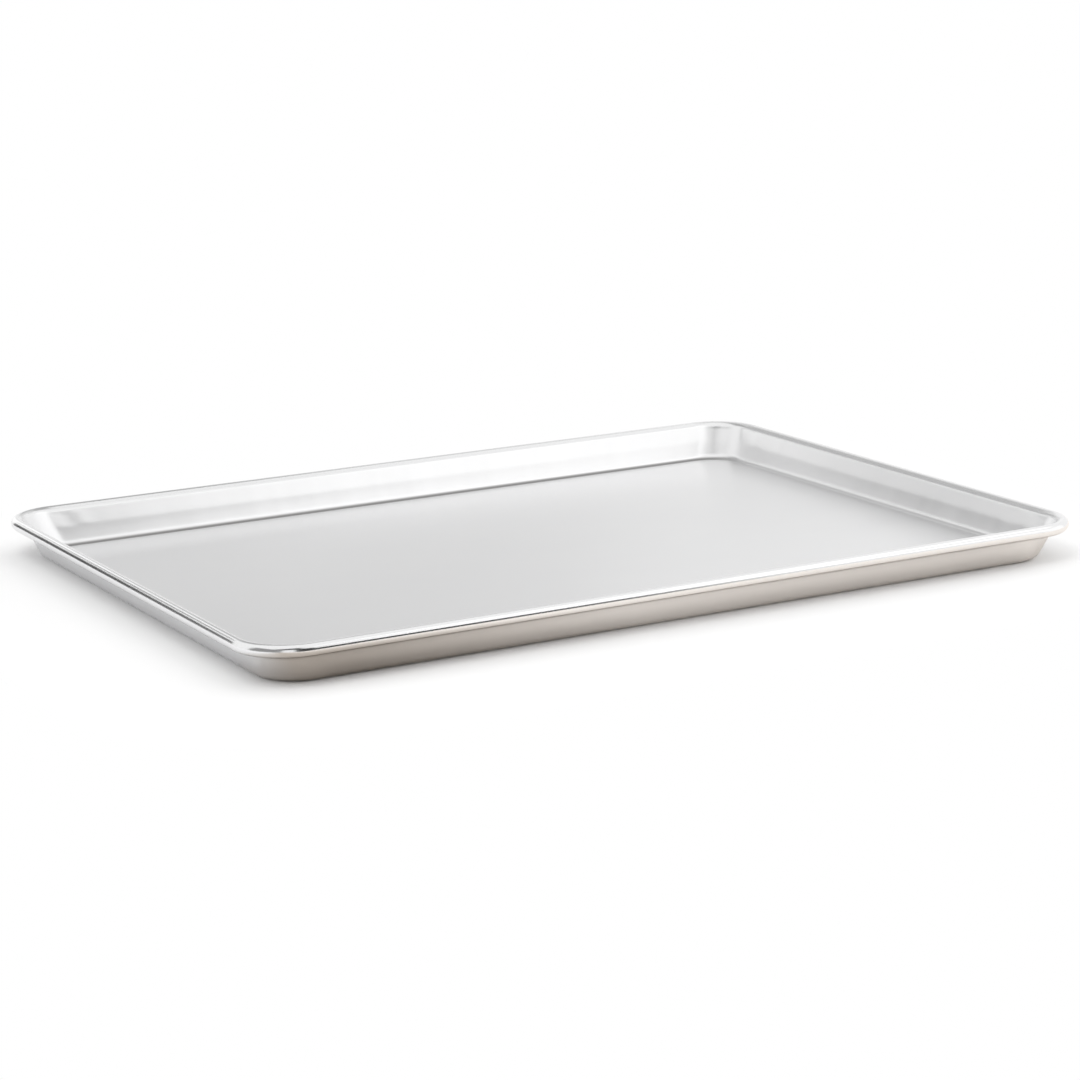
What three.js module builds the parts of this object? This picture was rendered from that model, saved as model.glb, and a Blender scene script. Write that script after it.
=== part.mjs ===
// Sheet pan: one seamless drawn aluminium tray whose rim is curled over a loop of steel wire.
// Millimetres, +Z up, +X along the pan's length. The origin is the middle of the underside.
import * as THREE from 'three';

const { degToRad } = THREE.MathUtils;

// Overall size, measured over the curled rim.
const panLength = 559;
const panWidth = 406;
const panHeight = 25.4;

// The drawn tray.
const sheetThickness = 1;
const wallLean = degToRad(21); // outward, from upright
const coveRadius = 5; // inside the bend from floor to wall
const trayCornerRadius = 24; // floor and walls, seen from above

// The rim: a short sloping flange that rolls into the curl.
const shoulderRadius = 1; // under the bend from wall to flange
const flangeSlope = degToRad(32); // rising outward, from level
const flangeLength = 2.8;
const rimCornerRadius = 34; // outermost edge, seen from above
const curlWrap = degToRad(282); // how far the sheet goes round the wire

// The wire that stiffens the rim.
const wireDiameter = 4.8;
const wireClearance = 0.3; // all round, inside the curl
const wireJointGap = 1.5; // between the butted ends

// Facets of the round stretches.
const cornerFacets = 10;
const coveFacets = 5;
const shoulderFacets = 3;
const curlFacets = 16;
const wireFacets = 12;

// The section through the rim is drawn in two coordinates: the inset from the rim's outermost
// line, and the height. The middle of the sheet follows arcs, and straight stretches join them.
const wireRadius = wireDiameter / 2;
const halfSheet = sheetThickness / 2;
const curlMidRadius = wireRadius + wireClearance + halfSheet;
const shoulderMidRadius = shoulderRadius + halfSheet;
const coveMidRadius = coveRadius + halfSheet;

// The direction that the sheet's upper face looks in, on each straight stretch.
const floorFacing = Math.PI / 2;
const wallFacing = wallLean;
const flangeFacing = Math.PI / 2 - flangeSlope;

// The centres of the three bends, from the rim inward.
const curlCentre = new THREE.Vector2(curlMidRadius + halfSheet, panHeight - curlMidRadius - halfSheet);
const shoulderCentre = curlCentre.clone()
  .add(along(flangeFacing, curlMidRadius - shoulderMidRadius))
  .add(along(flangeFacing - Math.PI / 2, flangeLength));
const coveCentreHeight = halfSheet + coveMidRadius;
const wallTop = shoulderCentre.clone().add(along(wallFacing, shoulderMidRadius));
const wallFootHeight = coveCentreHeight - coveMidRadius * Math.sin(wallFacing);
const wallFootInset = wallTop.x + (wallTop.y - wallFootHeight) * Math.tan(wallLean);
const coveCentreInset = wallFootInset + coveMidRadius * Math.cos(wallFacing);
const coveCentre = new THREE.Vector2(coveCentreInset, coveCentreHeight);

// A step of the given length in a direction of the section.
function along(direction, length) {
  return new THREE.Vector2(Math.cos(direction), Math.sin(direction)).multiplyScalar(length);
}

// Points on the middle of the sheet round one bend, each with the way its upper face looks.
// The bend's middle lies under the sheet, or above it where the bend is hollow.
function bend(centre, radius, fromFacing, toFacing, facets, hollow = false) {
  const turned = hollow ? Math.PI : 0;
  return Array.from({ length: facets + 1 }, (_, step) => {
    const facing = THREE.MathUtils.lerp(fromFacing, toFacing, step / facets);
    const point = along(facing + turned, radius).add(centre);
    return { inset: point.x, height: point.y, facing };
  });
}

// The middle of the sheet, from the edge of the flat floor out to the end of the curl. The tray
// keeps one corner radius from floor to shoulder, and the curl's corners share one centre.
function sheetMiddle() {
  const tray = [
    ...bend(coveCentre, coveMidRadius, floorFacing, wallFacing, coveFacets, true),
    ...bend(shoulderCentre, shoulderMidRadius, wallFacing, flangeFacing, shoulderFacets),
  ];
  const curl = bend(curlCentre, curlMidRadius, flangeFacing, flangeFacing + curlWrap, curlFacets);
  return [
    ...tray.map((point) => ({ ...point, cornerInset: point.inset + trayCornerRadius })),
    ...curl.map((point) => ({ ...point, cornerInset: rimCornerRadius })),
  ];
}

// A face that lies a given distance above the middle of the sheet, or below it where negative.
function sheetFace(distance) {
  return sheetMiddle().map((point) => {
    const shift = along(point.facing, distance);
    return { ...point, inset: point.inset + shift.x, height: point.height + shift.y };
  });
}

// The way one point of the section takes round the pan: a level rounded rectangle that runs
// anticlockwise from the back left corner to the back right corner.
function outline({ inset, height, cornerInset }) {
  const radius = cornerInset - inset;
  const centreX = panLength / 2 - cornerInset;
  const centreY = panWidth / 2 - cornerInset;
  const corners = [[-1, 1], [-1, -1], [1, -1], [1, 1]];
  return corners.flatMap(([sideX, sideY], corner) => {
    const start = (corner + 1) * Math.PI / 2;
    const end = start + Math.PI / 2;
    const arc = new THREE.EllipseCurve(sideX * centreX, sideY * centreY, radius, radius, start, end);
    return arc.getPoints(cornerFacets).map((point) => new THREE.Vector3(point.x, point.y, height));
  });
}

// Two triangles for each cell between neighbouring rows of points.
function skin(rows, rowsClose, columnsClose) {
  const rowCount = rowsClose ? rows.length : rows.length - 1;
  const columnCount = columnsClose ? rows[0].length : rows[0].length - 1;
  const triangles = [];
  for (let row = 0; row < rowCount; row += 1) {
    const here = rows[row];
    const next = rows[(row + 1) % rows.length];
    for (let column = 0; column < columnCount; column += 1) {
      const after = (column + 1) % here.length;
      triangles.push([here[column], next[column], next[after]]);
      triangles.push([here[column], next[after], here[after]]);
    }
  }
  return triangles;
}

// A flat end that closes a ring of points, as a fan about the ring's middle.
function cap(ring) {
  const middle = new THREE.Vector3();
  ring.forEach((point) => middle.add(point));
  middle.divideScalar(ring.length);
  return ring.map((point, index) => [middle, point, ring[(index + 1) % ring.length]]);
}

function meshOf(name, triangles, material) {
  const geometry = new THREE.BufferGeometry().setFromPoints(triangles.flat());
  geometry.computeVertexNormals();
  const mesh = new THREE.Mesh(geometry, material);
  mesh.name = name;
  return mesh;
}

// The tray, the flange and the curl are one piece of sheet. Its skin goes out along the upper
// face and back along the underside, and the flat floor closes both.
function panShell() {
  const section = [...sheetFace(halfSheet), ...sheetFace(-halfSheet).reverse()];
  const rings = section.map(outline);
  const floor = rings[0];
  const base = rings[rings.length - 1];
  const triangles = [...skin(rings, false, true), ...cap(floor), ...cap(base.toReversed())];
  const aluminium = new THREE.MeshStandardMaterial({ color: 0xd9d7d3, roughness: 0.34, metalness: 1 });
  return meshOf('pan_shell', triangles, aluminium);
}

// The wire follows the middle of the curl. Its ends meet at the middle of the back.
function rimWire() {
  const round = bend(curlCentre, wireRadius, 0, 2 * Math.PI, wireFacets).slice(0, -1);
  const strands = round.map((point) => {
    const back = panWidth / 2 - point.inset;
    const start = new THREE.Vector3(-wireJointGap / 2, back, point.height);
    const end = new THREE.Vector3(wireJointGap / 2, back, point.height);
    return [start, ...outline({ ...point, cornerInset: rimCornerRadius }), end];
  });
  const firstEnd = strands.map((strand) => strand.at(0));
  const lastEnd = strands.map((strand) => strand.at(-1));
  const triangles = [...skin(strands, true, false), ...cap(firstEnd.toReversed()), ...cap(lastEnd)];
  const galvanisedSteel = new THREE.MeshStandardMaterial({ color: 0xa9abad, roughness: 0.5, metalness: 1 });
  return meshOf('rim_wire', triangles, galvanisedSteel);
}

const sheetPan = new THREE.Group();
sheetPan.add(panShell(), rimWire());

export default sheetPan;
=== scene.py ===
import math

import bmesh
import bpy
import numpy as np
from mathutils import Matrix, Vector


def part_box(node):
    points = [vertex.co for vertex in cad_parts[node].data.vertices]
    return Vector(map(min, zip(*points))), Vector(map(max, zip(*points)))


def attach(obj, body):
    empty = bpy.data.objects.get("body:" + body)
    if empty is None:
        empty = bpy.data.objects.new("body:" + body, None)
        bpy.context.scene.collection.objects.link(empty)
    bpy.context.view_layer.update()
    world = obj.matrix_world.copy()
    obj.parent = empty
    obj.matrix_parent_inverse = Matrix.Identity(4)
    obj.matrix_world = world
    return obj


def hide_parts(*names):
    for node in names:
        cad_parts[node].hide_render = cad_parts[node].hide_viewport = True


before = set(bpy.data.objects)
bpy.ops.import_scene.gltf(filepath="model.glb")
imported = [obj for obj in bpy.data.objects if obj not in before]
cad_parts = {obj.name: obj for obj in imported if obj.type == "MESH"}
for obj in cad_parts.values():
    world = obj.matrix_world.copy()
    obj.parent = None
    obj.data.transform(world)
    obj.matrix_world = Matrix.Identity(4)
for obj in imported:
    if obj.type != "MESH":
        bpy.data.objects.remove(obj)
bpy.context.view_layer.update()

# Overall size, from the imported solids.
shell_low, shell_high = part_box("pan_shell")
HALF_LENGTH = (shell_high.x - shell_low.x) / 2
HALF_WIDTH = (shell_high.y - shell_low.y) / 2
HEIGHT = shell_high.z

# The drawn tray.
SHEET = 0.001
WALL_LEAN = math.radians(21)
COVE_RADIUS = 0.005
TRAY_CORNER = 0.024

# The rim: a short flange that rolls into the curl, and the wire inside the curl.
SHOULDER_RADIUS = 0.001
FLANGE_SLOPE = math.radians(32)
FLANGE_LENGTH = 0.0028
RIM_CORNER = 0.034
CURL_WRAP = math.radians(282)
WIRE_DIAMETER = 0.0048
WIRE_CLEARANCE = 0.0003
WIRE_JOINT_GAP = 0.0015

# The press leaves a softer shoulder, softest at the corners, and a flatter flange there.
SOFT_SHOULDER_RADIUS = 0.0025
CORNER_SHOULDER_RADIUS = 0.005
CORNER_FLANGE_SLOPE = math.radians(15)
CORNER_FADE = 0.008

# What pressing leaves in the sheet: a slight crown of the floor, a soft fold along the middle of
# the walls, long waves in them, and puckers in the corners and in the upper walls beside them.
# The fold's place and softness and the fade of the puckers are shares of the wall's height.
FLOOR_CROWN = 0.0003
WALL_FOLD = 0.0003
FOLD_PLACE = 0.5
FOLD_SOFTNESS = 0.25
WALL_WAVE = 0.00003
WALL_WAVE_LENGTHS = (0.110, 0.063, 0.042)
PUCKER = 0.00013
PUCKER_LENGTHS = (0.031, 0.0215, 0.0165)
PUCKER_REACH = 0.075
PUCKER_FADE = 0.1
EDGE_ROUND = 0.0003

# How finely each stretch is divided, and how near to each other points become one.
CORNER_STEPS = 32
LONG_STEPS = 160
SHORT_STEPS = 112
FLOOR_STEPS = 4
COVE_STEPS = 12
WALL_STEPS = 20
SHOULDER_STEPS = 10
FLANGE_STEPS = 4
CURL_STEPS = 36
EDGE_STEPS = 4
WIRE_STEPS = 24
NEAR = 1e-6

QUARTER_TURN = math.pi / 2

# Where the finish changes. The floor's ends at a share of the cove's bend. The bead's starts and
# is full at distances past the top of the wall, in lengths of the flange.
FLOOR_FINISH_END = 0.35
BEAD_FINISH_START, BEAD_FINISH_FULL = 0.3, 1.4

# The root of the back cove is painted darker along the back: painted shade. These are shares of the
# cove's bend: where the painted shade is full, where it starts to fade, and where it ends.
COVE_SHADE_FULL = 0.15
COVE_SHADE_FADE, COVE_SHADE_END = 0.4, 0.75

# The pocket under the curl is painted darker, as painted shade: on the curl's underside, and on the wall
# behind it.
POCKET_SHADE_START, POCKET_SHADE_FULL = math.radians(215), math.radians(235)
POCKET_SHADE_LOW, POCKET_SHADE_HIGH = 0.0145, 0.0165

# Finish of the aluminium. The scales are how often each grain repeats in a metre, each way.
ROLLING_SCALE = (9.0, 800.0, 800.0)
DRAWING_SCALE = (110.0, 110.0, 8.0)
TURNING_SCALE = (14.0, 14.0, 2600.0)
CLOUD_SCALE = (14.0, 22.0, 22.0)
FLOOR_ROUGHNESS = 0.34
WALL_ROUGHNESS = 0.305
BEAD_ROUGHNESS = 0.2
GRAIN_ROUGHNESS = 0.012
CLOUD_ROUGHNESS = 0.01
ALUMINIUM_GREYER, ALUMINIUM_PALER = (0.85, 0.85, 0.855, 1.0), (0.88, 0.88, 0.88, 1.0)
# The pocket's colours: darker aluminium painted under the curl as painted shade.
POCKET_SHADE_GREYER, POCKET_SHADE_PALER = (0.55, 0.54, 0.53, 1.0), (0.65, 0.64, 0.63, 1.0)
# Painted shade: the dark colour of the line along the root of the back cove.
COVE_SHADE_COLOUR = (0.30, 0.297, 0.293, 1.0)
GRAIN_STRENGTH, GRAIN_DEPTH = 0.06, 0.00002

# Finish of the zinc on the wire.
SPANGLE_SCALE = 700.0
ZINC_SCALE = (300.0, 300.0, 300.0)
ZINC_GREYER, ZINC_PALER = (0.60, 0.61, 0.62, 1.0), (0.72, 0.73, 0.74, 1.0)
ZINC_SMOOTHEST, ZINC_ROUGHEST = 0.38, 0.55
ZINC_STRENGTH, ZINC_DEPTH = 0.3, 0.00003

# The middle range that most of a noise's values fall in.
NOISE_LOW, NOISE_HIGH = 0.3, 0.7

# The camera, fitted to the photograph. The lens and the sensor are in millimetres.
CAMERA_AZIMUTH = math.radians(-29.27)
CAMERA_ELEVATION = math.radians(13.25)
CAMERA_ROLL = math.radians(-1.06)
CAMERA_TARGET = (0.0239, 0.03337, 0.0)
CAMERA_DISTANCE = 1.90092
LENS, SENSOR = 98.75, 36.0

# The studio. The pan's shadow fades out to plain white between two distances past its rim.
WHITE = (1.0, 1.0, 1.0, 1.0)
FLOOR_COLOUR = (0.80, 0.80, 0.80, 1.0)
ROOM_COLOUR = (0.47, 0.47, 0.47, 1.0)
FLOOR_REACH = 40.0
FLOOR_DROP = 0.0002
SHADOW_START, SHADOW_END = -0.02, 0.10

# A sheet of paper on the floor that only the pan mirrors. Its colour turns from the left's to the
# front's and on to the right's, by how far x is past y.
PAPER_X, PAPER_Y = (-0.9, 0.8), (-0.8, 0.6)
PAPER_DROP = 0.0001
PAPER_LEFT = (0.95, 0.95, 0.955, 1.0)
PAPER_FRONT = (0.55, 0.495, 0.44, 1.0)
PAPER_RIGHT = (0.98, 0.925, 0.87, 1.0)
LEFT_END, FRONT_START = -0.14, -0.06
FRONT_END, RIGHT_START = -0.02, 0.16

# Where the cards stand that draw the dark lines in the metal, and how dark the darkest are.
FRONT_PLANE, BACK_PLANE, LEFT_PLANE, CEILING = -1.25, 1.28, -1.1, 0.95
DARK = 0.02


def lerp(start, end, share):
    return start + (end - start) * share


def ease(low, high, value):
    """0 below low, 1 above high, and smooth in between."""
    share = np.clip((value - low) / (high - low), 0, 1)
    return share * share * (3 - 2 * share)


def along(direction, length):
    """A step of the given length in a direction of the section."""
    return np.array([np.cos(direction), np.sin(direction)]) * length


# The section through the rim has two coordinates: the inset from the rim's outermost line, and
# the height. A facing is the direction that the sheet's upper face looks in.
HALF_SHEET = SHEET / 2
WALL_FACING = WALL_LEAN
FLANGE_FACING = QUARTER_TURN - FLANGE_SLOPE
CORNER_FLANGE_FACING = QUARTER_TURN - CORNER_FLANGE_SLOPE
CURL_END_FACING = FLANGE_FACING + CURL_WRAP
curl_radius = WIRE_DIAMETER / 2 + WIRE_CLEARANCE + HALF_SHEET
cove_radius = COVE_RADIUS + HALF_SHEET
curl_centre = np.array([curl_radius + HALF_SHEET, HEIGHT - curl_radius - HALF_SHEET])
plain_shoulder_radius = SHOULDER_RADIUS + HALF_SHEET
plain_shoulder = (
    curl_centre
    + along(FLANGE_FACING, curl_radius - plain_shoulder_radius)
    + along(FLANGE_FACING - QUARTER_TURN, FLANGE_LENGTH)
)
plain_wall_top = plain_shoulder + along(WALL_FACING, plain_shoulder_radius)
wall_offset = plain_wall_top @ along(WALL_FACING, 1)
cove_height = HALF_SHEET + cove_radius
wall_foot_height = cove_height - cove_radius * math.sin(WALL_FACING)
wall_foot_inset = plain_wall_top[0] + (plain_wall_top[1] - wall_foot_height) * math.tan(WALL_LEAN)
cove_centre = np.array([wall_foot_inset + cove_radius * math.cos(WALL_FACING), cove_height])
floor_inset = cove_centre[0]


def columns_round():
    """The columns of points round the pan, anticlockwise from the back left corner's start.

    Each has the angle that the outline faces there, and its place between the corners' middles.
    """
    corners = [(-1, 1), (-1, -1), (1, -1), (1, 1)]
    angle, side_x, side_y = [], [], []
    for index, (x, y) in enumerate(corners):
        next_x, next_y = corners[(index + 1) % len(corners)]
        start = (index + 1) * QUARTER_TURN
        steps = LONG_STEPS if next_x != x else SHORT_STEPS
        share = np.arange(1, steps) / steps
        angle += [np.linspace(start, start + QUARTER_TURN, CORNER_STEPS + 1)]
        angle += [np.full(steps - 1, start + QUARTER_TURN)]
        side_x += [np.full(CORNER_STEPS + 1, float(x)), lerp(x, next_x, share)]
        side_y += [np.full(CORNER_STEPS + 1, float(y)), lerp(y, next_y, share)]
    return np.concatenate(angle), np.concatenate(side_x), np.concatenate(side_y)


angle, side_x, side_y = columns_round()
COLUMNS = len(angle)


def outline(inset, corner_inset):
    """Where rows of the section run round the pan, seen from above."""
    reach = corner_inset - inset
    x = side_x * (HALF_LENGTH - corner_inset) + reach * np.cos(angle)
    y = side_y * (HALF_WIDTH - corner_inset) + reach * np.sin(angle)
    return x, y


def corner_depth():
    """How far each column lies past the start of a corner's bend, below 0 on the straight sides."""
    x, y = outline(plain_wall_top[0], plain_wall_top[0] + TRAY_CORNER)
    past_x = np.abs(x) - (HALF_LENGTH - plain_wall_top[0] - TRAY_CORNER)
    past_y = np.abs(y) - (HALF_WIDTH - plain_wall_top[0] - TRAY_CORNER)
    return np.minimum(past_x, past_y)


def corner_share():
    """1 round the middle of each corner and 0 on the straight sides, column by column."""
    return ease(-CORNER_FADE, CORNER_FADE * 2, corner_depth())


def ripple(lengths):
    """Waves of about the given lengths that run round the pan and meet themselves again."""
    x, y = outline(plain_wall_top[0], plain_wall_top[0] + TRAY_CORNER)
    steps = np.hypot(np.diff(x, append=x[0]), np.diff(y, append=y[0]))
    way = np.concatenate([[0], np.cumsum(steps)])
    turn = way[:-1] / way[-1] * 2 * math.pi
    waves = [np.sin(round(way[-1] / length) * turn + number) for number, length in enumerate(lengths)]
    return np.mean(waves, axis=0)


def pressing(wall_share):
    """How far pressing pushes the walls inward, from the share of the wall's height."""
    share = np.clip(wall_share, 0, 1)
    below = (share / FOLD_PLACE) ** 2
    above = (1 - share) / (1 - FOLD_PLACE)
    fold = (below + above - np.sqrt((below - above) ** 2 + FOLD_SOFTNESS ** 2)) / 2
    end = (1 / FOLD_PLACE ** 2 - np.sqrt(1 / FOLD_PLACE ** 4 + FOLD_SOFTNESS ** 2)) / 2
    fold = np.maximum(fold - end, 0)
    middle = np.sin(math.pi * share) ** 2
    upper = ease(FOLD_PLACE - PUCKER_FADE, FOLD_PLACE + PUCKER_FADE, share)
    upper = upper * (1 - ease(1 - PUCKER_FADE, 1, share))
    corner = corner_share()
    beside = 1 - ease(0, PUCKER_REACH, -corner_depth())
    return (
        WALL_FOLD * fold * (1 - corner)
        + WALL_WAVE * middle * ripple(WALL_WAVE_LENGTHS)
        + PUCKER * lerp(upper, middle, corner) * beside * ripple(PUCKER_LENGTHS)
    )


def sheet_rows():
    """The middle of the sheet, row by row from near the middle of the floor to the curl's end.

    Gives the inset, height, facing and corner inset of each row, each with all the columns.
    """
    soft = corner_share()
    shoulder_radius = lerp(SOFT_SHOULDER_RADIUS, CORNER_SHOULDER_RADIUS, soft) + HALF_SHEET
    flange_facing = lerp(FLANGE_FACING, CORNER_FLANGE_FACING, soft)

    # The shoulder touches the wall's line and the flange's, so its centre is where both meet.
    wall_x, wall_y = along(WALL_FACING, 1)
    flange_x, flange_y = along(flange_facing, 1)
    wall_reach = wall_offset - shoulder_radius
    flange_reach = flange_x * curl_centre[0] + flange_y * curl_centre[1] + curl_radius - shoulder_radius
    spread = wall_x * flange_y - wall_y * flange_x
    shoulder_x = (wall_reach * flange_y - wall_y * flange_reach) / spread
    shoulder_y = (wall_x * flange_reach - wall_reach * flange_x) / spread

    rows = []

    def add(inset, height, facing):
        rows.append([np.broadcast_to(value, COLUMNS) for value in (inset, height, facing)])

    def add_bend(centre, radius, start, end, steps, hollow=False):
        for share in np.linspace(0, 1, steps + 1):
            facing = lerp(start, end, share)
            turned = facing + math.pi if hollow else facing
            add(centre[0] + radius * np.cos(turned), centre[1] + radius * np.sin(turned), facing)

    def add_straight(end, steps):
        """Rows on the line between the last row and the one that the next bend starts with."""
        start = rows[-1]
        for share in np.arange(1, steps) / steps:
            add(*[lerp(a, b, share) for a, b in zip(start, end)])

    for share in np.arange(FLOOR_STEPS) / FLOOR_STEPS:
        add(floor_inset + TRAY_CORNER * (1 - share), HALF_SHEET, QUARTER_TURN)
    add_bend(cove_centre, cove_radius, QUARTER_TURN, WALL_FACING, COVE_STEPS, hollow=True)
    wall_top = [
        shoulder_x + shoulder_radius * wall_x,
        shoulder_y + shoulder_radius * wall_y,
        np.full(COLUMNS, WALL_FACING),
    ]
    add_straight(wall_top, WALL_STEPS)
    tray_rows = len(rows)
    add_bend((shoulder_x, shoulder_y), shoulder_radius, WALL_FACING, flange_facing, SHOULDER_STEPS)
    curl_start = [
        curl_centre[0] + curl_radius * flange_x,
        curl_centre[1] + curl_radius * flange_y,
        flange_facing,
    ]
    add_straight(curl_start, FLANGE_STEPS)
    rim_rows = len(rows)
    add_bend(curl_centre, curl_radius, flange_facing, CURL_END_FACING, CURL_STEPS)

    inset, height, facing = (np.array(part) for part in zip(*rows))
    corner_inset = inset + TRAY_CORNER
    corner_inset[:FLOOR_STEPS] = floor_inset + TRAY_CORNER
    rise = (wall_top[0] - inset) / (wall_top[0] - curl_start[0])
    shoulder = slice(tray_rows, rim_rows)
    corner_inset[shoulder] = lerp(wall_top[0] + TRAY_CORNER, RIM_CORNER, rise)[shoulder]
    corner_inset[rim_rows:] = RIM_CORNER
    return inset, height, facing, corner_inset


def grid_faces(rows, columns, closed):
    """Four-sided faces between neighbouring rows of points."""
    index = np.arange(rows * columns).reshape(rows, columns)
    after = np.roll(index, -1, axis=1)
    if not closed:
        index, after = index[:, :-1], after[:, :-1]
    return np.stack([index[:-1], index[1:], after[1:], after[:-1]], -1).reshape(-1, 4)


def object_from(name, points, faces, layers, merge=0.0):
    """A smooth mesh object, with a number or a direction of each layer kept on every point."""
    mesh = bpy.data.meshes.new(name)
    mesh.from_pydata(points.tolist(), [], [list(face) for face in faces])
    for layer, values in layers.items():
        kind, field = ("FLOAT", "value") if values.ndim == 1 else ("FLOAT_VECTOR", "vector")
        stored = mesh.attributes.new(layer, kind, "POINT")
        stored.data.foreach_set(field, values.astype(np.float32).ravel())
    if merge:
        work = bmesh.new()
        work.from_mesh(mesh)
        bmesh.ops.remove_doubles(work, verts=work.verts, dist=merge)
        work.to_mesh(mesh)
        work.free()
    mesh.shade_smooth()
    made = bpy.data.objects.new(name, mesh)
    bpy.context.scene.collection.objects.link(made)
    return made


def make_pan():
    """The drawn sheet: its upper face, the sheared edge of the curl, and its lower face."""
    inset, height, facing, corner_inset = sheet_rows()
    x, y = outline(inset, corner_inset)
    middle = np.stack([x, y, height], -1)
    normal = np.stack(
        [-np.cos(angle) * np.cos(facing), -np.sin(angle) * np.cos(facing), np.sin(facing)], -1
    )

    # Distance along the section from the edge of the flat floor.
    step = np.hypot(np.diff(inset, axis=0), np.diff(height, axis=0))
    travel = np.concatenate([np.zeros((1, COLUMNS)), np.cumsum(step, axis=0)])
    travel = travel - travel[FLOOR_STEPS]
    cove_end = travel[FLOOR_STEPS + COVE_STEPS]
    wall_end = travel[FLOOR_STEPS + COVE_STEPS + WALL_STEPS]
    lift = pressing((travel - cove_end) / (wall_end - cove_end))
    middle = middle + normal * lift[..., None]

    # Where each finish lies. The root of the cove is painted darker along the back only: painted shade.
    bent = travel / (cove_radius * (QUARTER_TURN - WALL_FACING))
    past_wall = (travel - wall_end) / FLANGE_LENGTH
    floor_part = 1 - ease(0, FLOOR_FINISH_END, bent)
    bead_part = ease(BEAD_FINISH_START, BEAD_FINISH_FULL, past_wall)
    root = ease(0, COVE_SHADE_FULL, bent) * (1 - ease(COVE_SHADE_FADE, COVE_SHADE_END, bent)) * ease(0, 1, np.sin(angle))
    # Painted shade under the curl: on the curl's underside past a facing, and on the wall near the curl's
    # height.
    tucked = ease(POCKET_SHADE_START, POCKET_SHADE_FULL, facing)
    under = ease(POCKET_SHADE_LOW, POCKET_SHADE_HIGH, height) * (past_wall < 1)
    upper = middle + normal * HALF_SHEET
    lower = middle - normal * HALF_SHEET

    # The sheared edge at the curl's end, rounded over.
    forward = np.stack(
        [np.cos(angle) * np.sin(facing[-1]), np.sin(angle) * np.sin(facing[-1]), np.cos(facing[-1])], -1
    )
    edge = []
    for share in np.linspace(0, 1, EDGE_STEPS + 1)[1:-1]:
        across = math.cos(math.pi * share) * HALF_SHEET
        outward = math.sin(math.pi * share) * EDGE_ROUND
        edge.append(middle[-1] + normal[-1] * across + forward * outward)
    edge = np.array(edge)
    rings = np.concatenate([upper, edge, lower[::-1]])

    def ringed(values):
        """The values of the rows for the upper face, the edge and the lower face."""
        return np.concatenate([values, np.repeat(values[-1:], len(edge), 0), values[::-1]])

    trace_xy = np.stack(outline(plain_wall_top[0], plain_wall_top[0] + TRAY_CORNER), -1)
    trace_xy = np.broadcast_to(trace_xy, rings.shape[:2] + (2,))
    trace = np.concatenate([trace_xy, ringed(travel)[..., None]], -1)
    # The painted shade of the pocket covers the curl's underside, its sheared edge, and the wall behind the
    # curl.
    edge_pocket = np.ones((len(edge), COLUMNS))
    pocket = np.concatenate([tucked, edge_pocket, np.maximum(tucked, under)[::-1]])
    # The painted shade at the cove's root is on the upper face only.
    root = np.concatenate([root, np.zeros((len(edge) + len(root), COLUMNS))])

    # The middle of the floor, as a grid that meets the first row of rings.
    grid_x = np.linspace(-1, 1, LONG_STEPS + 1) * (HALF_LENGTH - floor_inset - TRAY_CORNER)
    grid_y = np.linspace(-1, 1, SHORT_STEPS + 1) * (HALF_WIDTH - floor_inset - TRAY_CORNER)
    flat_x, flat_y = np.meshgrid(grid_x, grid_y)
    flats = []
    for level in (SHEET, 0.0):
        flats.append(np.stack([flat_x, flat_y, np.full_like(flat_x, level)], -1).reshape(-1, 3))
    flat_trace = np.stack([flat_x, flat_y, np.full_like(flat_x, travel[0, 0])], -1).reshape(-1, 3)

    points = np.concatenate([rings.reshape(-1, 3), *flats])
    crown = np.clip(1 - (points[:, 0] / (HALF_LENGTH - floor_inset)) ** 2, 0, 1)
    crown *= np.clip(1 - (points[:, 1] / (HALF_WIDTH - floor_inset)) ** 2, 0, 1)
    points[:, 2] += FLOOR_CROWN * crown

    ring_count = rings.shape[0] * COLUMNS
    flat_count = len(flats[0])
    flat_faces = grid_faces(len(grid_x), len(grid_y), closed=False)
    by_row = np.arange(flat_count).reshape(len(grid_y), len(grid_x)).T.reshape(-1)
    flat_faces = by_row[flat_faces]
    faces = np.concatenate([
        grid_faces(rings.shape[0], COLUMNS, closed=True),
        flat_faces + ring_count,
        flat_faces[:, ::-1] + ring_count + flat_count,
    ])
    on_floor = np.ones(flat_count * 2)
    off_floor = np.zeros(flat_count * 2)
    layers = {
        "trace": np.concatenate([trace.reshape(-1, 3), flat_trace, flat_trace]),
        "floor_part": np.concatenate([ringed(floor_part).ravel(), on_floor]),
        "bead_part": np.concatenate([ringed(bead_part).ravel(), off_floor]),
        "pocket_shade_part": np.concatenate([pocket.ravel(), off_floor]),
        "cove_shade_part": np.concatenate([root.ravel(), off_floor]),
    }
    return object_from("pan", points, faces, layers, merge=NEAR)


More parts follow.
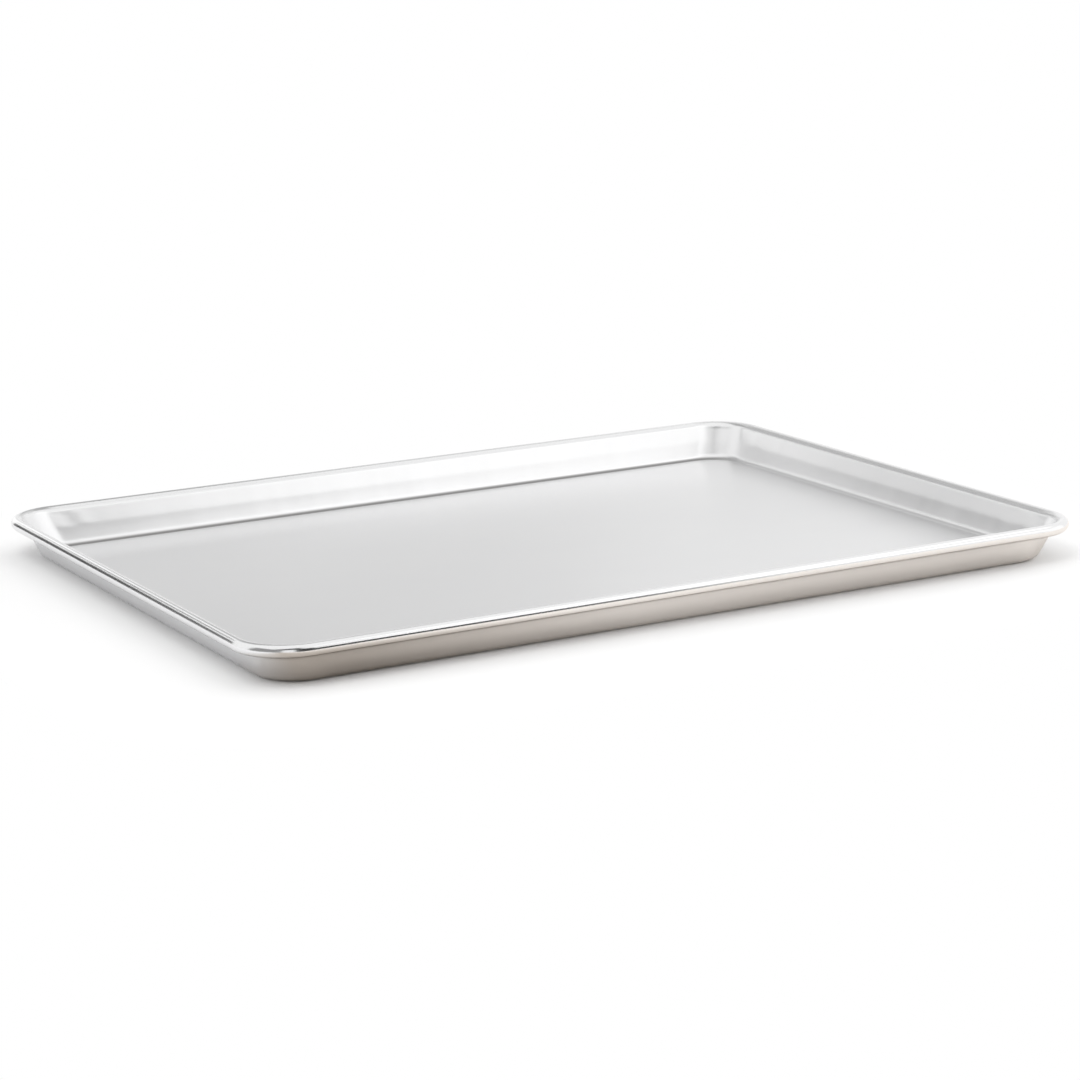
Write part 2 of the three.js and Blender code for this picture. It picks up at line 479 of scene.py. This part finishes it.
def make_wire():
    """The loop of wire in the curl, with its butted ends at the middle of the back."""
    facing = np.linspace(0, 2 * math.pi, WIRE_STEPS + 1)[:-1]
    inset = curl_centre[0] + WIRE_DIAMETER / 2 * np.cos(facing)
    height = curl_centre[1] + WIRE_DIAMETER / 2 * np.sin(facing)
    x, y = outline(inset[:, None], RIM_CORNER)
    strands = np.stack([x, y, np.broadcast_to(height[:, None], x.shape)], -1)

    # The columns start at the back left corner, and the last straight run crosses the back. Its
    # first half goes to the end of the loop, and its second half comes before the start.
    back_facing = 2 * math.pi + QUARTER_TURN
    back = np.flatnonzero((np.abs(side_y - 1) < NEAR) & (angle > back_facing - NEAR))
    run = strands[:, back]
    first = run[:, run[0, :, 0] < 0]
    last = run[:, run[0, :, 0] > 0]
    ends = []
    for side, near in ((-1, first), (1, last)):
        tip = near[:, :1].copy()
        tip[..., 0] = side * WIRE_JOINT_GAP / 2
        ends.append(tip)
    around = np.delete(strands, back, axis=1)
    loop = np.concatenate([ends[0], first, around, last, ends[1]], axis=1)
    rows, columns = loop.shape[:2]
    points = np.concatenate([loop.reshape(-1, 3), loop[:, 0].mean(0)[None], loop[:, -1].mean(0)[None]])
    index = np.arange(rows * columns).reshape(rows, columns)
    ring = np.arange(rows)
    after = np.roll(ring, -1)
    faces = []
    for here in range(columns - 1):
        there = here + 1
        cells = [index[ring, here], index[after, here], index[after, there], index[ring, there]]
        faces += np.stack(cells, -1).tolist()
    faces += [[rows * columns, index[b, 0], index[a, 0]] for a, b in zip(ring, after)]
    faces += [[rows * columns + 1, index[a, -1], index[b, -1]] for a, b in zip(ring, after)]
    return object_from("wire", points, faces, {})


class Graph:
    """A small helper that adds shader nodes to a tree and joins their sockets."""

    def __init__(self, tree):
        self.tree = tree
        tree.nodes.clear()

    def add(self, kind, inputs=None, **settings):
        made = self.tree.nodes.new(kind)
        for name, value in settings.items():
            setattr(made, name, value)
        for socket, value in (inputs or {}).items():
            if isinstance(value, bpy.types.NodeSocket):
                self.tree.links.new(value, made.inputs[socket])
            else:
                made.inputs[socket].default_value = value
        return made

    def maths(self, operation, first, second):
        return self.add("ShaderNodeMath", {0: first, 1: second}, operation=operation).outputs[0]

    def vector(self, operation, first, second):
        return self.add("ShaderNodeVectorMath", {0: first, 1: second}, operation=operation).outputs[0]

    def noise(self, vector, scale, detail):
        stretched = self.vector("MULTIPLY", vector, scale)
        inputs = {"Vector": stretched, "Scale": 1.0, "Detail": detail}
        return self.add("ShaderNodeTexNoise", inputs).outputs["Fac"]

    def remap(self, value, low, high, to_low=0.0, to_high=1.0):
        inputs = {"Value": value, "From Min": low, "From Max": high, "To Min": to_low, "To Max": to_high}
        return self.add("ShaderNodeMapRange", inputs).outputs[0]

    def blend(self, share, first, second):
        inputs = {"Factor": share, "A": first, "B": second}
        return self.add("ShaderNodeMix", inputs, data_type="FLOAT").outputs[0]

    def colours(self, share, first, second):
        inputs = {0: share, 6: first, 7: second}
        return self.add("ShaderNodeMix", inputs, data_type="RGBA").outputs[2]

    def shaders(self, share, first, second):
        return self.add("ShaderNodeMixShader", {0: share, 1: first, 2: second}).outputs[0]

    def place(self):
        return self.add("ShaderNodeTexCoord").outputs["Object"]

    def attribute(self, name, output="Fac"):
        return self.add("ShaderNodeAttribute", attribute_name=name).outputs[output]

    def surface(self, shader):
        self.add("ShaderNodeOutputMaterial", {"Surface": shader})

    def metal(self, colour, rough, bump):
        """Makes the material a metal."""
        inputs = {"Base Color": colour, "Metallic": 1.0, "Roughness": rough, "Normal": bump.outputs[0]}
        self.surface(self.add("ShaderNodeBsdfPrincipled", inputs).outputs[0])


def new_material(name):
    material = bpy.data.materials.new(name)
    material.use_nodes = True
    return material, Graph(material.node_tree)


def satin_aluminium():
    """Rolled sheet on the floor, draw marks up the walls, and a burnished bead.

    The pocket under the curl and a strip at the root of the back cove are painted darker: painted shade.
    """
    material, graph = new_material("satin_aluminium")
    place = graph.place()
    trace = graph.attribute("trace", "Vector")
    floor_part = graph.attribute("floor_part")
    bead_part = graph.attribute("bead_part")
    pocket_shade_part = graph.attribute("pocket_shade_part")
    cove_shade_part = graph.attribute("cove_shade_part")

    rolling = graph.noise(place, ROLLING_SCALE, detail=3.0)
    drawing = graph.noise(trace, DRAWING_SCALE, detail=1.0)
    turning = graph.noise(trace, TURNING_SCALE, detail=2.0)
    clouds = graph.noise(place, CLOUD_SCALE, detail=3.0)
    grain = graph.blend(bead_part, graph.blend(floor_part, drawing, rolling), turning)

    wall_or_floor = graph.blend(floor_part, WALL_ROUGHNESS, FLOOR_ROUGHNESS)
    plain = graph.blend(bead_part, wall_or_floor, BEAD_ROUGHNESS)
    by_grain = graph.remap(grain, NOISE_LOW, NOISE_HIGH, -GRAIN_ROUGHNESS, GRAIN_ROUGHNESS)
    by_cloud = graph.remap(clouds, NOISE_LOW, NOISE_HIGH, -CLOUD_ROUGHNESS, CLOUD_ROUGHNESS)
    rough = graph.maths("ADD", graph.maths("ADD", plain, by_grain), by_cloud)

    metal_colour = graph.colours(clouds, ALUMINIUM_GREYER, ALUMINIUM_PALER)
    # The root of the back cove is painted with a dark colour: painted shade.
    metal_colour = graph.colours(cove_shade_part, metal_colour, COVE_SHADE_COLOUR)
    # The pocket under the curl is painted in darker colours: painted shade.
    pocket_shade_colour = graph.colours(grain, POCKET_SHADE_GREYER, POCKET_SHADE_PALER)
    colour = graph.colours(pocket_shade_part, metal_colour, pocket_shade_colour)
    relief = {"Strength": GRAIN_STRENGTH, "Distance": GRAIN_DEPTH, "Height": grain}
    graph.metal(colour, rough, graph.add("ShaderNodeBump", relief))
    return material


def galvanised_wire():
    """Zinc-coated drawn wire: dull, with pale spangles and small uneven patches."""
    material, graph = new_material("galvanised_wire")
    place = graph.place()
    crystals = {"Vector": place, "Scale": SPANGLE_SCALE}
    spangle = graph.add("ShaderNodeTexVoronoi", crystals).outputs["Distance"]
    patches = graph.noise(place, ZINC_SCALE, detail=3.0)
    colour = graph.colours(spangle, ZINC_GREYER, ZINC_PALER)
    rough = graph.remap(patches, NOISE_LOW, NOISE_HIGH, ZINC_SMOOTHEST, ZINC_ROUGHEST)
    relief = {"Strength": ZINC_STRENGTH, "Distance": ZINC_DEPTH, "Height": patches}
    graph.metal(colour, rough, graph.add("ShaderNodeBump", relief))
    return material


def make_camera():
    """The photograph's view: 29 degrees round to the left, 13 degrees up, almost 2 m away."""
    back = Vector((
        math.sin(CAMERA_AZIMUTH) * math.cos(CAMERA_ELEVATION),
        -math.cos(CAMERA_AZIMUTH) * math.cos(CAMERA_ELEVATION),
        math.sin(CAMERA_ELEVATION),
    ))
    right = Vector((math.cos(CAMERA_AZIMUTH), math.sin(CAMERA_AZIMUTH), 0))
    up = back.cross(right)
    rolled_right = right * math.cos(CAMERA_ROLL) + up * math.sin(CAMERA_ROLL)
    rolled_up = up * math.cos(CAMERA_ROLL) - right * math.sin(CAMERA_ROLL)
    data = bpy.data.cameras.new("camera")
    data.lens = LENS
    data.sensor_width = SENSOR
    camera = bpy.data.objects.new("camera", data)
    bpy.context.scene.collection.objects.link(camera)
    turned = Matrix((rolled_right, rolled_up, back)).transposed().to_4x4()
    place = Vector(CAMERA_TARGET) + back * CAMERA_DISTANCE
    camera.matrix_world = Matrix.Translation(place) @ turned
    bpy.context.scene.camera = camera


def seen_directly(graph):
    """1 for what the camera sees, itself or mirrored in metal, and 0 for light that falls on things."""
    path = graph.add("ShaderNodeLightPath").outputs
    mirrored = graph.maths("ADD", path["Is Glossy Ray"], path["Is Transmission Ray"])
    return graph.maths("ADD", path["Is Camera Ray"], mirrored)


def distance_from(graph, corner_inset):
    """How far a place lies past the straight sides between corners with the given inset."""
    quarter = graph.add("ShaderNodeVectorMath", {0: graph.place()}, operation="ABSOLUTE").outputs[0]
    middle = (HALF_LENGTH - corner_inset, HALF_WIDTH - corner_inset, 0.0)
    past = graph.vector("MAXIMUM", graph.vector("SUBTRACT", quarter, middle), (0.0, 0.0, 0.0))
    return graph.add("ShaderNodeVectorMath", {0: past}, operation="LENGTH").outputs["Value"]


def under_base(graph):
    """1 under the flat base of the pan and 0 elsewhere."""
    return graph.maths("LESS_THAN", distance_from(graph, floor_inset + TRAY_CORNER), TRAY_CORNER)


def level_mesh(name, x, y, z):
    """A level rectangle between two places each way."""
    mesh = bpy.data.meshes.new(name)
    corners = [(x[0], y[0], z), (x[1], y[0], z), (x[1], y[1], z), (x[0], y[1], z)]
    mesh.from_pydata(corners, [], [(0, 1, 2, 3)])
    return mesh


def make_floor():
    """A plain pale floor that takes the pan's shadow and can be looked through from below.

    Seen directly it is white, and far from the pan it glows white so that no horizon shows.
    It is open under the pan's base, so that the underside mirrors the white room there.
    """
    span = (-FLOOR_REACH, FLOOR_REACH)
    mesh = level_mesh("floor", span, span, -FLOOR_DROP)
    floor = bpy.data.objects.new("floor", mesh)
    bpy.context.scene.collection.objects.link(floor)
    material, graph = new_material("pale_floor")
    seen = seen_directly(graph)
    colour = graph.colours(seen, FLOOR_COLOUR, WHITE)
    diffuse = graph.add("ShaderNodeBsdfDiffuse", {"Color": colour}).outputs[0]
    glow = graph.add("ShaderNodeEmission", {"Color": WHITE, "Strength": 1.0}).outputs[0]
    distance = distance_from(graph, RIM_CORNER)
    away = graph.remap(distance, RIM_CORNER + SHADOW_START, RIM_CORNER + SHADOW_END)
    lit = graph.shaders(graph.maths("MULTIPLY", away, seen), diffuse, glow)
    clear = graph.add("ShaderNodeBsdfTransparent").outputs[0]
    below = graph.add("ShaderNodeNewGeometry").outputs["Backfacing"]
    opened = graph.maths("MAXIMUM", below, under_base(graph))
    graph.surface(graph.shaders(opened, lit, clear))
    mesh.materials.append(material)


def make_world():
    """A white room, which lights the pan and the floor at a plain level."""
    world = bpy.data.worlds.new("studio")
    bpy.context.scene.world = world
    world.use_nodes = True
    graph = Graph(world.node_tree)
    colour = graph.colours(seen_directly(graph), ROOM_COLOUR, WHITE)
    light = graph.add("ShaderNodeBackground", {"Color": colour, "Strength": 1.0})
    graph.add("ShaderNodeOutputWorld", {"Surface": light.outputs[0]})


def make_softbox(name, place, size, level, mirrored=True):
    """A soft box that faces the pan. A level of 1 looks as bright as white."""
    data = bpy.data.lights.new(name, "AREA")
    data.shape = "RECTANGLE"
    data.size, data.size_y = size
    data.energy = math.pi * level * size[0] * size[1]
    lamp = bpy.data.objects.new(name, data)
    bpy.context.scene.collection.objects.link(lamp)
    lamp.location = place
    lamp.rotation_euler = Vector(place).to_track_quat("Z", "Y").to_euler()
    lamp.visible_camera = False
    lamp.visible_glossy = mirrored


def stand_card(name, mesh, material):
    """Puts a card in the studio that only the pan's metal shows. It neither shades nor lights the floor."""
    mesh.materials.append(material)
    card = bpy.data.objects.new(name, mesh)
    bpy.context.scene.collection.objects.link(card)
    card.visible_camera = False
    card.visible_shadow = False
    card.visible_diffuse = False


def paint_card(name, mesh, grey):
    material, graph = new_material(name)
    paint = graph.add("ShaderNodeEmission", {"Color": (grey, grey, grey, 1.0), "Strength": 1.0})
    graph.surface(paint.outputs[0])
    stand_card(name, mesh, material)


def upright_card(name, x, y, z, grey):
    """A card that stands between two places seen from above, from one height to another."""
    mesh = bpy.data.meshes.new(name)
    corners = [(x[0], y[0], z[0]), (x[1], y[1], z[0]), (x[1], y[1], z[1]), (x[0], y[0], z[1])]
    mesh.from_pydata(corners, [], [(0, 1, 2, 3)])
    paint_card(name, mesh, grey)


def front_card(name, x, z, grey):
    upright_card(name, x, (FRONT_PLANE, FRONT_PLANE), z, grey)


def back_card(name, x, z, grey):
    upright_card(name, x, (BACK_PLANE, BACK_PLANE), z, grey)


def top_card(name, x, y, grey):
    paint_card(name, level_mesh(name, x, y, CEILING), grey)


def make_paper():
    """A sheet on the floor that the pan's outer walls mirror: pale on the left, darker in front."""
    mesh = level_mesh("floor_sheet", PAPER_X, PAPER_Y, -PAPER_DROP)
    material, graph = new_material("floor_sheet")
    split = graph.add("ShaderNodeSeparateXYZ", {0: graph.place()}).outputs
    across = graph.maths("SUBTRACT", split[0], split[1])
    turn = graph.remap(across, LEFT_END, FRONT_START)
    fade = graph.remap(across, FRONT_END, RIGHT_START)
    colour = graph.colours(turn, PAPER_LEFT, graph.colours(fade, PAPER_FRONT, PAPER_RIGHT))
    paint = graph.add("ShaderNodeBsdfDiffuse", {"Color": colour}).outputs[0]
    clear = graph.add("ShaderNodeBsdfTransparent").outputs[0]
    graph.surface(graph.shaders(under_base(graph), paint, clear))
    stand_card("floor_sheet", mesh, material)


def make_lights():
    """Soft boxes round the pan. The metal mirrors only some of them."""
    make_softbox("overhead", place=(0.0, 0.0, 1.5), size=(3.0, 3.0), level=0.4, mirrored=False)
    make_softbox("left_key", place=(-0.95, -0.75, 1.5), size=(0.8, 0.8), level=3.9, mirrored=False)
    make_softbox("front_key", place=(0.35, -1.2, 1.5), size=(0.8, 0.8), level=0.9, mirrored=False)
    make_softbox("left_fill", place=(-1.6, 0.0, 0.55), size=(1.6, 0.8), level=1.2, mirrored=False)
    make_softbox("right_fill", place=(1.6, 0.0, 0.55), size=(1.6, 0.8), level=2.3, mirrored=False)
    make_softbox("back_left", place=(-0.3, 1.3, 0.35), size=(0.5, 0.4), level=0.25)
    make_softbox("right_front", place=(1.4, -0.75, 0.45), size=(1.3, 0.9), level=0.17)
    make_softbox("front_right", place=(0.75, -1.35, 0.8), size=(0.8, 0.4), level=0.39)
    make_softbox("right_high_front", place=(0.7, -0.52, 1.0), size=(1.0, 0.4), level=0.37)


def make_cards():
    """The cards that draw the dark lines and the grey stretches in the pan's bright metal."""
    front_card("front_card", x=(-0.5, 0.66), z=(0.0, 0.52), grey=DARK)
    front_card("front_high_card", x=(-0.5, 0.27), z=(0.52, CEILING), grey=DARK)
    upright_card("left_front_card", (LEFT_PLANE, LEFT_PLANE), (FRONT_PLANE, 0.0), (0.0, CEILING), grey=0.3)
    back_card("low_back_card", x=(-1.08, -0.61), z=(0.0, 0.5), grey=DARK)
    back_card("high_back_card", x=(-0.61, -0.36), z=(0.5, 0.78), grey=0.12)
    back_card("back_middle_card", x=(0.0, 0.45), z=(0.0, 0.45), grey=0.95)
    back_card("back_right_card", x=(0.45, 1.2), z=(0.0, 0.45), grey=0.80)
    back_card("back_high_card", x=(0.0, 0.42), z=(0.45, CEILING), grey=0.5)
    back_card("back_high_right_card", x=(0.42, 0.8), z=(0.45, CEILING), grey=0.75)
    top_card("top_back_card", x=(-0.3, 0.42), y=(0.55, BACK_PLANE), grey=0.45)
    top_card("top_back_right_card", x=(0.42, 0.9), y=(0.6, BACK_PLANE), grey=0.75)
    top_card("top_front_card", x=(LEFT_PLANE, -0.2), y=(FRONT_PLANE, -0.7), grey=DARK)
    make_paper()


make_camera()
make_world()
make_floor()
make_lights()
make_cards()

pan = make_pan()
pan.data.materials.append(satin_aluminium())
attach(pan, "root")
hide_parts("pan_shell")

wire = make_wire()
wire.data.materials.append(galvanised_wire())
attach(wire, "root")
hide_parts("rim_wire")

bpy.context.scene.view_settings.view_transform = "Standard"
